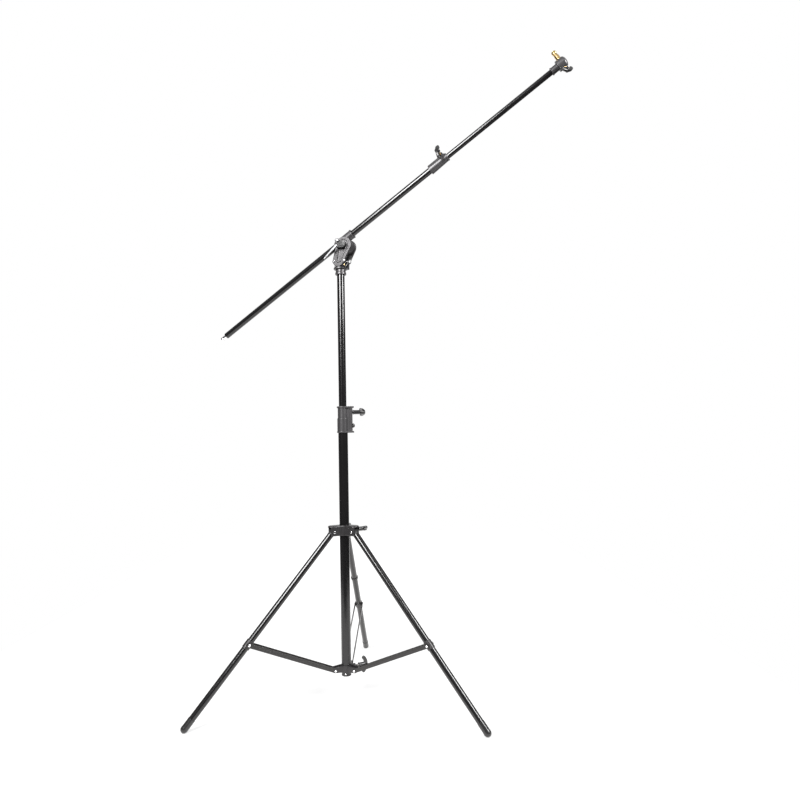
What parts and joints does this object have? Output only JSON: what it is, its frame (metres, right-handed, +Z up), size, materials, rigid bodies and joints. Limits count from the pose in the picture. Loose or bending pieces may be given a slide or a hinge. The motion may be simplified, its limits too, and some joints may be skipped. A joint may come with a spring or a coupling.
{
  "type": "overhead boom arm",
  "caption": "Two-section boom on a tilting and panning head, carried by a telescopic column on a folding three-legged stand, with a brass spigot at the boom's tip.",
  "frame": {"origin": "centre of the lower face of the column's end plug, on the column's axis, 85 mm above the floor", "axes": "+Z up along the column; +X level, the way the boom reaches at rest; +Y makes the frame right-handed"},
  "size_m": [1.402, 0.9738, 2.2029],
  "materials": {
    "black_tube": "gloss",
    "grey_casting": "satin paint",
    "grey_strip": "satin",
    "bright_steel": "polished",
    "brass": "polished",
    "knob_black": "gloss",
    "light_lever": "satin",
    "black_nylon": "matte"
  },
  "bodies": {
    "stand": {"outer_column": "black_tube", "column_end_plug": "black_nylon", "end_plug_screw": "bright_steel", "lower_collar": "grey_casting", "brace_pin_rear": "bright_steel", "brace_pin_left": "bright_steel", "brace_pin_right": "bright_steel", "column_casting": "grey_casting", "column_clamp_screw": "knob_black"},
    "collar_knob": {"collar_wing_knob": "knob_black"},
    "column_knob": {"column_wing_knob": "knob_black"},
    "hub": {"hub_casting": "grey_casting", "leg_pin_rear": "bright_steel", "leg_pin_left": "bright_steel", "leg_pin_right": "bright_steel"},
    "hub_knob": {"hub_wing_knob": "knob_black"},
    "upper_column": {"upper_column_tube": "black_tube", "upper_column_bush": "black_nylon", "neck_ring": "grey_casting"},
    "head": {"head_base": "grey_casting", "head_front_cheek": "grey_casting", "cheek_screw_back": "bright_steel", "cheek_screw_front": "bright_steel", "tilt_axle": "bright_steel"},
    "head_knob": {"head_wing_knob": "knob_black"},
    "lever": {"tilt_lever_hub": "knob_black", "tilt_lever_arm": "light_lever"},
    "plunger": {"release_plunger": "bright_steel"},
    "tilt_block": {"boom_clamp": "grey_casting"},
    "boom": {"lower_boom_tube": "black_tube", "tail_stud": "bright_steel", "boom_joint_sleeve": "grey_casting", "sleeve_clamp_screw": "bright_steel"},
    "sleeve_knob": {"sleeve_wing_knob": "knob_black"},
    "upper_boom": {"upper_boom_tube": "black_tube", "tip_socket": "grey_casting"},
    "tip": {"tip_barrel": "grey_casting"},
    "spigot": {"spigot": "brass"},
    "tip_knob": {"tip_wing_knob": "knob_black"},
    "leg_rear": {"leg_tube_rear": "black_tube", "leg_knuckle_rear": "black_nylon", "leg_foot_rear": "black_nylon", "brace_bracket_rear": "grey_casting", "rear_leg_clip": "black_nylon"},
    "brace_rear": {"brace_strip_rear_inner": "grey_strip", "brace_strip_rear_outer": "grey_strip"},
    "leg_left": {"leg_tube_left": "black_tube", "leg_knuckle_left": "black_nylon", "leg_foot_left": "black_nylon", "brace_bracket_left": "grey_casting"},
    "brace_left": {"brace_strip_left_inner": "grey_strip", "brace_strip_left_outer": "grey_strip"},
    "leg_right": {"leg_tube_right": "black_tube", "leg_knuckle_right": "black_nylon", "leg_foot_right": "black_nylon", "brace_bracket_right": "grey_casting"},
    "brace_right": {"brace_strip_right_inner": "grey_strip", "brace_strip_right_outer": "grey_strip"}
  },
  "joints": [
    {"name": "hub_slide", "type": "slide", "parent": "stand", "child": "hub", "axis": [0, 0, 1], "range_m": [0, 0.3]},
    {"name": "leg_fold_rear", "type": "hinge", "parent": "hub", "child": "leg_rear", "pos_m": [-0.01408, 0.04232, 0.5137], "axis": [-0.9489, -0.3156, 0], "range_deg": [0, 32]},
    {"name": "leg_fold_left", "type": "hinge", "parent": "hub", "child": "leg_left", "pos_m": [-0.02961, -0.03335, 0.5137], "axis": [0.7478, -0.6639, 0], "range_deg": [0, 32]},
    {"name": "leg_fold_right", "type": "hinge", "parent": "hub", "child": "leg_right", "pos_m": [0.04369, -0.00897, 0.5137], "axis": [0.2011, 0.9796, 0], "range_deg": [0, 32]},
    {"name": "brace_fold_rear", "type": "hinge", "parent": "stand", "child": "brace_rear", "pos_m": [-0.01499, 0.04507, 0.0272], "axis": [-0.9489, -0.3156, 0], "range_deg": [-53.6, 0]},
    {"name": "brace_fold_left", "type": "hinge", "parent": "stand", "child": "brace_left", "pos_m": [-0.03154, -0.03552, 0.0272], "axis": [0.7478, -0.6639, 0], "range_deg": [-53.6, 0]},
    {"name": "brace_fold_right", "type": "hinge", "parent": "stand", "child": "brace_right", "pos_m": [0.04653, -0.00955, 0.0272], "axis": [0.2011, 0.9796, 0], "range_deg": [-53.6, 0]},
    {"name": "column_slide", "type": "slide", "parent": "stand", "child": "upper_column", "axis": [0, 0, 1], "range_m": [-0.47, 0.28]},
    {"name": "boom_pan", "type": "hinge", "parent": "upper_column", "child": "head", "pos_m": [0, 0, 1.476], "axis": [0, 0, 1], "continuous": true},
    {"name": "boom_tilt", "type": "hinge", "parent": "head", "child": "tilt_block", "pos_m": [0.025, 0, 1.5602], "axis": [0, -1, 0], "range_deg": [-90.75, 29.25]},
    {"name": "boom_slide", "type": "slide", "parent": "tilt_block", "child": "boom", "axis": [0.8594, 0, 0.5113], "range_m": [-0.35, 0.54]},
    {"name": "boom_extend", "type": "slide", "parent": "boom", "child": "upper_boom", "axis": [0.8594, 0, 0.5113], "range_m": [-0.415, 0.31]},
    {"name": "tip_swivel", "type": "hinge", "parent": "upper_boom", "child": "tip", "pos_m": [0.82719, 0, 2.06654], "axis": [0.8594, 0, 0.5113], "continuous": true},
    {"name": "spigot_turn", "type": "hinge", "parent": "tip", "child": "spigot", "pos_m": [0.82719, 0, 2.06654], "axis": [-0.5085, 0.1045, 0.8547], "continuous": true},
    {"name": "tilt_lever_turn", "type": "hinge", "parent": "head", "child": "lever", "pos_m": [0.025, 0, 1.5602], "axis": [0, -1, 0], "range_deg": [0, 30]},
    {"name": "plunger_pull", "type": "slide", "parent": "head", "child": "plunger", "axis": [0, -1, 0], "range_m": [0, 0.006], "stiffness_N_per_m": 600},
    {"name": "collar_knob_turn", "type": "hinge", "parent": "stand", "child": "collar_knob", "pos_m": [0.0332, 0.03739, 0.028], "axis": [0.6639, 0.7478, 0], "range_deg": [0, 360]},
    {"name": "hub_knob_turn", "type": "hinge", "parent": "hub", "child": "hub_knob", "pos_m": [0.0332, 0.03739, 0.517], "axis": [0.6639, 0.7478, 0], "range_deg": [0, 360]},
    {"name": "column_knob_turn", "type": "hinge", "parent": "stand", "child": "column_knob", "pos_m": [0.03668, 0.01595, 0.945], "axis": [0.9171, 0.3987, 0], "range_deg": [0, 360]},
    {"name": "head_knob_turn", "type": "hinge", "parent": "head", "child": "head_knob", "pos_m": [0.03215, -0.02379, 1.488], "axis": [0.8039, -0.5948, 0], "range_deg": [0, 360]},
    {"name": "sleeve_knob_turn", "type": "hinge", "parent": "boom", "child": "sleeve_knob", "pos_m": [0.40603, -0.02741, 1.83018], "axis": [-0.208, -0.9135, 0.3496], "range_deg": [0, 360]},
    {"name": "tip_knob_turn", "type": "hinge", "parent": "tip", "child": "tip_knob", "pos_m": [0.83838, -0.0023, 2.04774], "axis": [0.5085, -0.1045, -0.8547], "range_deg": [0, 360]}
  ],
  "couplings": [
    {"joint": "leg_fold_rear", "follows": "hub_slide", "rad_per_m": 1.8571},
    {"joint": "leg_fold_left", "follows": "hub_slide", "rad_per_m": 1.8571},
    {"joint": "leg_fold_right", "follows": "hub_slide", "rad_per_m": 1.8571},
    {"joint": "brace_fold_rear", "follows": "hub_slide", "rad_per_m": -3.1104},
    {"joint": "brace_fold_left", "follows": "hub_slide", "rad_per_m": -3.1104},
    {"joint": "brace_fold_right", "follows": "hub_slide", "rad_per_m": -3.1104}
  ]
}
